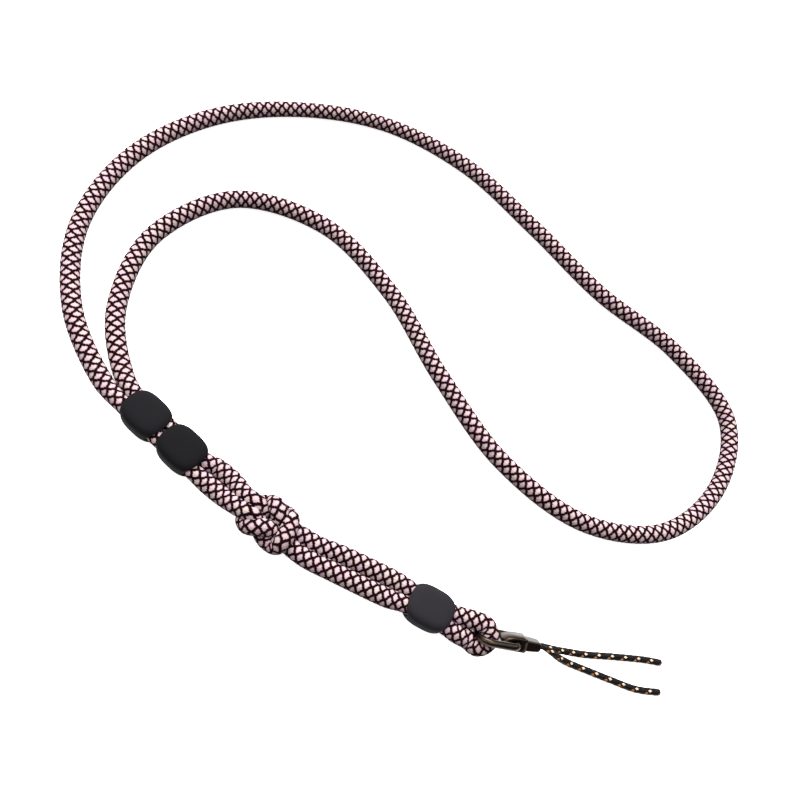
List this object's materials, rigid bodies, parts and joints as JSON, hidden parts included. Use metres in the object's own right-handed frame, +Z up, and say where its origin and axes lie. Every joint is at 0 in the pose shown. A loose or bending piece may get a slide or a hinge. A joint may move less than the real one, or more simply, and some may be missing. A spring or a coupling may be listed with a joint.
{
  "type": "phone lanyard",
  "caption": "Thick braided neck cord gathered by soft beads and knotted to a short doubled cord, whose end holds a wire ring with a crimp and thin tie strings.",
  "frame": {"origin": "middle of the lanyard's plan as it lies, on the surface that it lies on", "axes": "+Z up from the surface; +X along the doubled run, from the upper beads towards the ring and the strings; +Y across it, towards the neck loop"},
  "size_m": [0.3129, 0.2269, 0.0122],
  "materials": {
    "braid": "pale pink braided polyester with a black net",
    "bead_rubber": "soft matte black silicone",
    "gunmetal": "gunmetal plating, worn to tan on its edges",
    "string": "black braided polyester with tan flecks"
  },
  "bodies": {
    "root": {"neck_cord": "braid", "short_cord": "braid", "bead_upper": "bead_rubber", "bead_middle": "bead_rubber", "bead_lower": "bead_rubber", "ring": "gunmetal", "ferrule": "gunmetal", "string_upper": "string", "string_lower": "string"}
  },
  "joints": []
}
